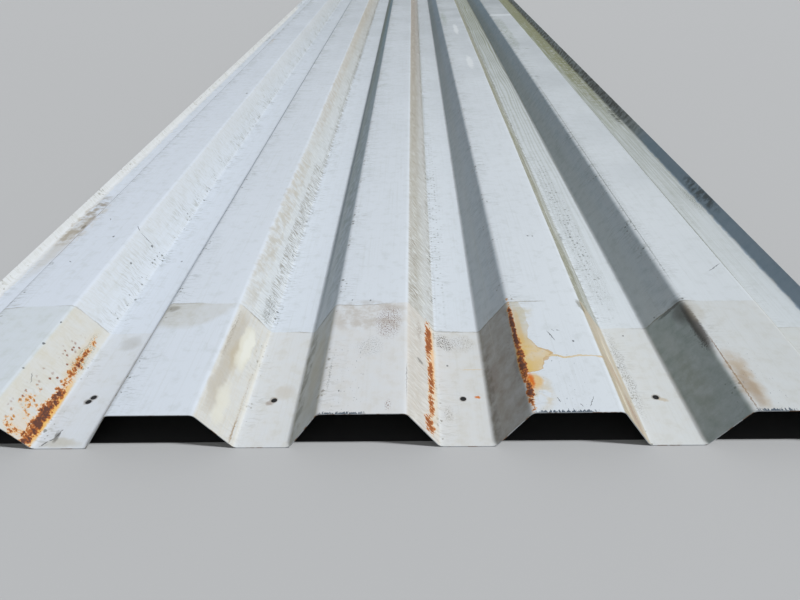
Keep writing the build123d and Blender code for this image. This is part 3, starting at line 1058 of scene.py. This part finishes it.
# %% Pits, rust and its orange edge
right_part = add(paint, RANGE, [strip_x, at("valley 2", 0, 0)[0], at("crest 3", 0, 0)[0]])
fibrous = add(paint, TIMES, [seen["Right web"], right_part])
fibres = add(paint, TIMES, [add(paint, MINUS, [seen["Wisps"], 0.5]), fibrous])
pits = add(paint, FLAT_NOISE, [seen["Place"], 1 / 2.2, 3.0, 0.65])
pitted = rust_field
for pattern, weight in ((seen["Chance"], 0.60), (seen["Cells"], -0.40), (pits, 1.4), (fibres, 2.4)):
    pitted = add(paint, TIMES_PLUS, [pattern, weight, pitted])
inside_band = add(paint, SMOOTH_RANGE, [rust_field, 0.0, 0.06])
rust = add(paint, TIMES, [add(paint, SMOOTH_RANGE, [pitted, 1.40, 1.52]), inside_band])
core_level = add(paint, TIMES_PLUS, [fibrous, -0.55, 1.0])
core = add(paint, TIMES, [add(paint, SMOOTH_RANGE, [pitted, 1.52, 1.95]), core_level])
halo = add(paint, TIMES, [add(paint, SMOOTH_RANGE, [pitted, 1.12, 1.42, 0.0, 0.70]), inside_band])
rust_tint = add(paint, COLOUR_MIX, [core, linear("#a8622f"), linear("#5c3c32")])
colour = add(paint, COLOUR_MIX, [halo, colour, linear("#d9a04a")])
colour = add(paint, COLOUR_MIX, [rust, colour, rust_tint])
print(len(rust_bands), "rust bands")

# %% Scratches and nicks under the lap
lap_scratches = [
    ("crest 4", (-7, 117), (0, 96), 0.5),
    ("crest 4", (-2, 118), (2, 113), 0.35),
    ("crest 4", (3, 116), (7, 114), 0.35),
    ("crest 4", (17, 20), (10, 5), 0.4),
    ("crest 4", (-15, 19), (-13, 12), 0.4),
    ("crest 4", (3, 11), (5, 6), 0.4),
    ("right web 1", (-16, 68), (-10, 55), 0.45),
    ("valley 1", (-18, 2), (-14, 9), 0.9),
    ("valley 1", (-14, 9), (-9, 12), 0.7),
    ("valley 1", (-9, 12), (-7, 24), 0.6),
]
lap_nicks = [
    ("right web 1", -24, 104, 1.6),
    ("right web 1", -24, 140, 1.0),
    ("right web 1", -24, 66, 0.9),
    ("crest 3", -22, 174, 1.1),
    ("crest 3", -2, 173, 1.1),
    ("crest 3", -22, 29, 1.0),
    ("valley 3", -13, 109.6, 1.2),
    ("crest 4", 16.5, 97.5, 1.1),
    ("valley 4", -3, 157, 1.0),
    ("left web 5", -9, 173, 1.1),
]
colour = lay_scratches(paint, seen, colour, lap_scratches, lap_nicks)

# %% Chipped front edge
# The shears broke the paint along the front end of crests 3, 4 and 5. The marks are nearly square,
# because only their sides count.
squarish = 6
past_chips = 100
chip_level = add(paint, RANGE, [seen["From front"], 4.5, 0.0, 0.0, 0.40])
chip_marks = [
    (mark(seen["Place"], face, offset, 0, half_width, past_chips, squareness=squarish), 1.0)
    for face, offset, half_width in (("crest 3", -18, 22), ("crest 4", -10, 28), ("crest 5", -20, 18))
]
chip_sides = join_marks(paint, chip_marks, 0.0)
upright = add(paint, STRETCH, [seen["Place"], (0.65, 0.26, 0.0)])
chips = add(paint, PLUS, [add(paint, FLAT_NOISE, [upright, 1.0, 2.0]), chip_level])
chips = add(paint, TIMES, [add(paint, SMOOTH_RANGE, [chips, 0.72, 0.80]), chip_sides], use_clamp=True)
colour = add(paint, COLOUR_MIX, [chips, colour, linear("#4a5663")])

# %% [markdown]
# Rust has no gloss at all and stands a little proud of the paint.

# %% The lapped coating
roughness = add(paint, RANGE, [seen["Mottle"], 0.0, 1.0, 0.40, 0.56])
roughness = add(paint, MIX, [rust, roughness, 0.92])
relief = add(paint, TIMES_PLUS, [seen["Speck"], 0.06, add(paint, TIMES, [rust, pits])])
finish_material(paint, {"Base Color": colour, "Roughness": roughness, **chalked}, relief, 0.6, 0.5 * MM)

# %% [markdown]
# ## The backing coat and the cut edge
# The underside has a thin grey-beige backing coat. It has never seen the sun, but damp has stood under
# it: it has mottled, and zinc has bloomed white in places.
#
# Along the sheared edges and in the holes there is no paint. The steel shows between two films of
# zinc: dull grey, with rust starting in it.

# %% Backing coat
backing, back = empty_material("backing_coat")
place = add(back, SCALE, [add(back, "ShaderNodeUVMap", uv_map="strip"), 1.0 / MM])
damp = add(back, NOISE, [place, 1 / 90.0, 5.0, 0.6])
bloom = add(back, TIMES_PLUS, [damp, 0.8, add(back, NOISE, [place, 1 / 7.0, 4.0])])
spots = add(back, TIMES_PLUS, [damp, -0.8, add(back, NOISE, [place, 1 / 3.0, 3.0])])
colour = linear("#b3b1a5")
for pattern, low, high, most, tint in (
    (damp, 0.35, 0.65, 1.0, "#9a968a"),
    (bloom, 1.0, 1.15, 0.6, "#d4d3cb"),
    (spots, 0.36, 0.44, 0.8, "#7a4a28"),
):
    cover = add(back, SMOOTH_RANGE, [pattern, low, high, 0.0, most])
    colour = add(back, COLOUR_MIX, [cover, colour, linear(tint)])
finish_material(back, {"Base Color": colour, "Roughness": 0.6, "IOR": 1.5}, bloom, 0.3, 0.3 * MM)

# %% Cut edge
cut_edge, edge = empty_material("sheared_zinc_edge")
object_place = add(edge, "ShaderNodeTexCoord").node.outputs["Object"]
blotches = add(edge, NOISE, [object_place, 1 / (9.0 * MM), 3.0])
rusting = add(edge, SMOOTH_RANGE, [blotches, 0.5, 0.62])
colour = add(edge, COLOUR_MIX, [rusting, linear("#b9bec2"), linear("#7d6450")])
metal = add(edge, RANGE, [rusting, 0.0, 1.0, 0.8, 0.0])
roughness = add(edge, RANGE, [rusting, 0.0, 1.0, 0.45, 0.9])
finish_material(edge, {"Base Color": colour, "Metallic": metal, "Roughness": roughness})
print("finishes:", coating.name, lapped.name, backing.name, cut_edge.name)

# %% [markdown]
# ## Forming the sheet
# The tree and the finishes are ready, so an empty object gets the tree as a modifier. Its result is
# kept as a plain mesh, and the modifier goes away again. The sheet is one piece, fixed to the body
# `root`, and it stands for the CAD sheet.

# %% Form the sheet
sizes.update({"Coating": coating, "Lapped coating": lapped, "Backing": backing, "Cut edge": cut_edge})
sheet = bpy.data.objects.new("coated_sheet", bpy.data.meshes.new("coated_sheet"))
bpy.context.scene.collection.objects.link(sheet)
modifier = sheet.modifiers.new("roll forming", "NODES")
modifier.node_group = form
for name, value in sizes.items():
    modifier[identifiers[name]] = value
evaluated = sheet.evaluated_get(bpy.context.evaluated_depsgraph_get())
formed_mesh = bpy.data.meshes.new_from_object(evaluated)
sheet.modifiers.clear()
sheet.data = formed_mesh
while None in list(formed_mesh.materials):
    formed_mesh.materials.pop(index=list(formed_mesh.materials).index(None))
triangles = sum(len(face.vertices) - 2 for face in formed_mesh.polygons)
print("sheet", len(formed_mesh.vertices), "vertices", triangles, "triangles")
print("its finishes:", [m.name for m in formed_mesh.materials])

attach(sheet, "root")
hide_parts("corrugated_sheet")

# %% [markdown]
# ## Floor and light
# The floor is plain and pale. The real sheet lies on dark ground, and its hollows and screw holes lie in
# deep shade, nearly black. A black card paints that shade here: it lies under the sheet, where only the
# hollows and holes show it.
#
# The light is one soft lamp from the right, high enough to leave the left webs in shade, and a pale
# world that fills the shade.

# %% A flat panel on the stage
matt = 0.9


def flat_panel(name, low, high, level, hex_colour):
    """A matt rectangle at one height in one plain colour, which isn't part of the object."""
    corners = [(x, y, level) for x, y in ((low[0], low[1]), (high[0], low[1]), high, (low[0], high[1]))]
    mesh = bpy.data.meshes.new(name)
    mesh.from_pydata(corners, [], [(0, 1, 2, 3)])
    panel = bpy.data.objects.new(name, mesh)
    bpy.context.scene.collection.objects.link(panel)
    material = bpy.data.materials.new(name)
    material.use_nodes = True
    surface = material.node_tree.nodes["Principled BSDF"].inputs
    surface["Base Color"].default_value = linear(hex_colour)
    surface["Roughness"].default_value = matt
    mesh.materials.append(material)


# %% Floor and card
low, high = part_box("corrugated_sheet")
floor_reach = 40.0
inside_ends = 7.0 * MM
inside_lips = 19.0 * MM
just_off_floor = 0.03 * MM
card_low = (low.x + inside_lips, low.y + inside_ends)
card_high = (high.x - inside_lips, high.y - inside_ends)
flat_panel("floor", (-floor_reach, -floor_reach), (floor_reach, floor_reach), 0.0, "#b5b7b9")
# painted shade: a black card under the sheet, seen only through the hollows and screw holes
flat_panel("shadow_card", card_low, card_high, just_off_floor, "#17181a")

# %% Light
lamp_strength = 2.85
lamp_width = radians(4)
toward_lamp = Vector((0.60, -0.13, 0.79))

lamp = bpy.data.lights.new("key", "SUN")
lamp.energy = lamp_strength
lamp.angle = lamp_width
key = bpy.data.objects.new("key", lamp)
key.rotation_mode = "QUATERNION"
key.rotation_quaternion = toward_lamp.to_track_quat("Z", "Y")
bpy.context.scene.collection.objects.link(key)

# %% World
fill_strength = 0.3

world = bpy.data.worlds.new("studio")
world.use_nodes = True
studio = world.node_tree
studio.nodes.clear()
fill = add(studio, "ShaderNodeBackground", {"Color": linear("#ffffff"), "Strength": fill_strength})
backdrop = add(studio, "ShaderNodeBackground", {"Color": linear("#d5d7d9"), "Strength": 1.0})
paths = add(studio, "ShaderNodeLightPath").node.outputs
shown = paths["Is Camera Ray"]
for ray in ("Is Glossy Ray", "Is Transmission Ray"):
    shown = add(studio, MATH, [shown, paths[ray]], operation="MAXIMUM")
background = add(studio, "ShaderNodeMixShader", [shown, fill, backdrop])
studio.links.new(background, studio.nodes.new("ShaderNodeOutputWorld").inputs["Surface"])
bpy.context.scene.world = world
bpy.context.scene.view_settings.view_transform = "Standard"
